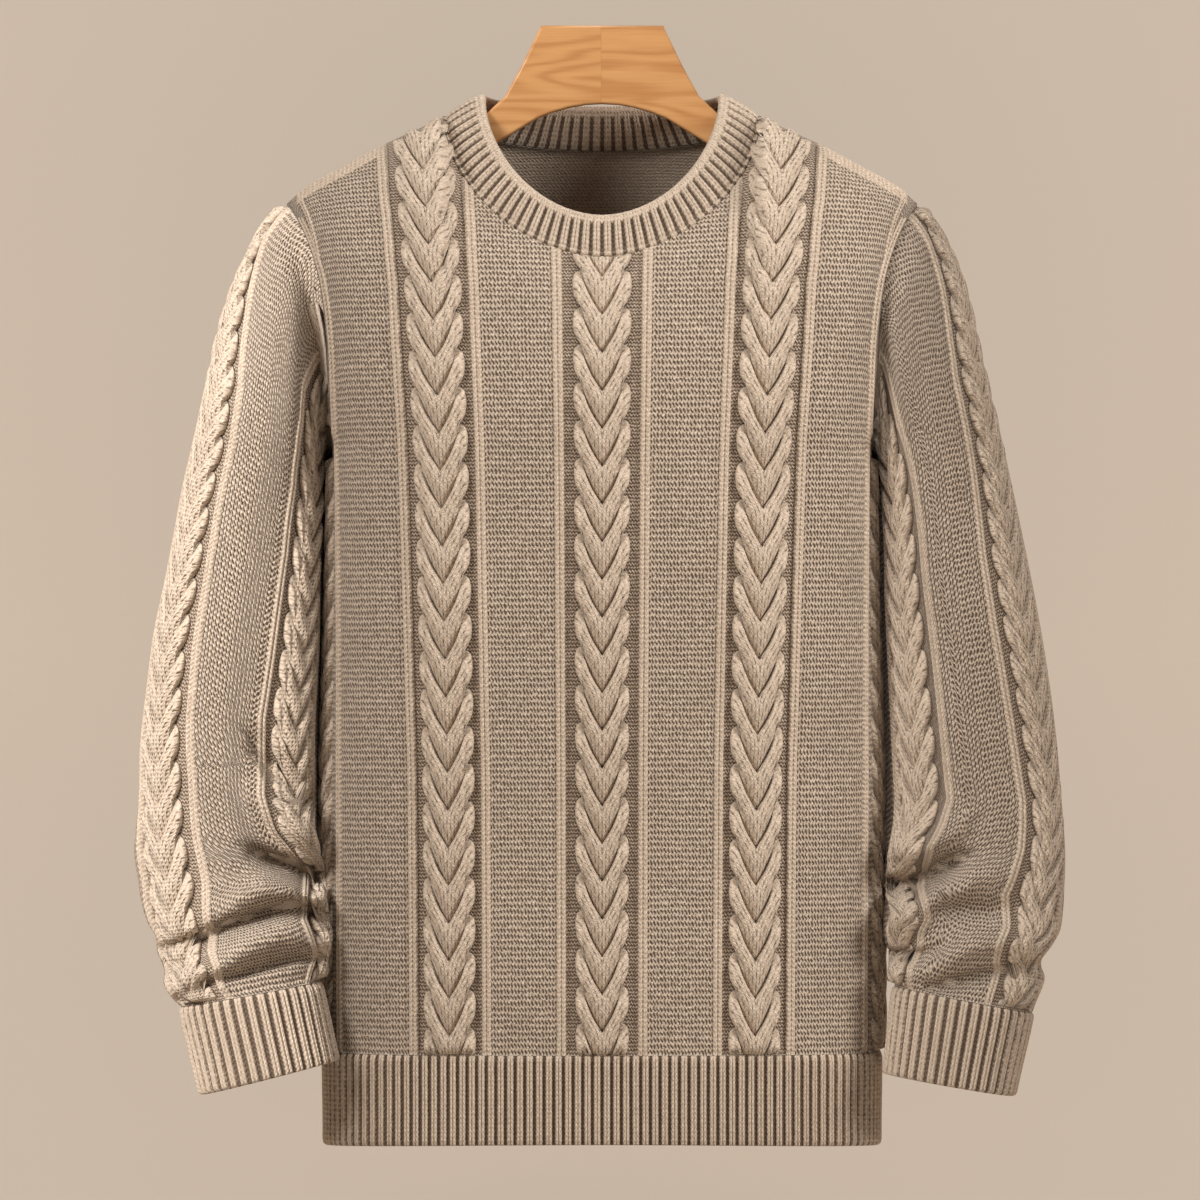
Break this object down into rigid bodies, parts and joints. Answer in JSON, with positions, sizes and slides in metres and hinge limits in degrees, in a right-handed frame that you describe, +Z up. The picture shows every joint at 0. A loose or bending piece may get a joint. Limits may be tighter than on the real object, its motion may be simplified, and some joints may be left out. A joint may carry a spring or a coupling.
{
  "type": "cable knit sweater on a wooden hanger",
  "caption": "Long-sleeved crew-neck cable knit sweater, filled out and hollow, hanging on a plain wooden hanger board.",
  "frame": {"origin": "middle of the hanger's flat top face, where it is held", "axes": "+Z up, the sweater's front faces -Y, +X towards the wearer's left sleeve"},
  "size_m": [0.63, 0.2125, 0.76],
  "materials": {
    "knit": "soft heathered taupe wool knit with cables and textured panels",
    "rib": "soft heathered taupe wool rib",
    "wood": "honey-coloured wood with a satin varnish"
  },
  "bodies": {
    "root": {"front_panel": "knit", "back_panel": "knit", "sleeve_right": "knit", "sleeve_left": "knit", "neckband": "rib", "hem_front": "rib", "hem_back": "rib", "cuff_right": "rib", "cuff_left": "rib", "hanger": "wood"}
  },
  "joints": []
}
